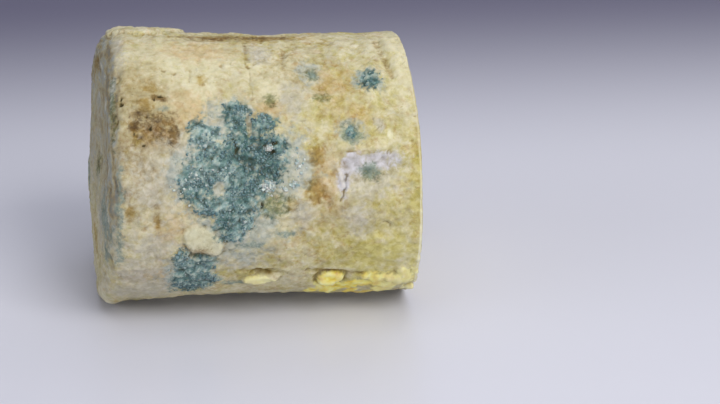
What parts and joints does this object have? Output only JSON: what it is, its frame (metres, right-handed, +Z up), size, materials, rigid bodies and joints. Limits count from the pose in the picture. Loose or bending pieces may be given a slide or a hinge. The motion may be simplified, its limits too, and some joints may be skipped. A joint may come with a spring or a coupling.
{
  "type": "cheese log",
  "caption": "Short cut log of soft mould-ripened cheese lying on its side: natural rind with blue-green mould, a rounded heel and a flat cut end.",
  "frame": {"origin": "on the resting surface, under the middle of the log's bounding box", "axes": "+X along the log from the rounded heel to the flat cut end, +Y across it, +Z up"},
  "size_m": [0.0832, 0.0706, 0.0689],
  "materials": {
    "rind": "matte, dry and crusty natural rind, cream to yellow with blue-green mould; the cut end is smooth ivory-yellow paste"
  },
  "bodies": {
    "root": {"cheese_log": "rind"}
  },
  "joints": []
}
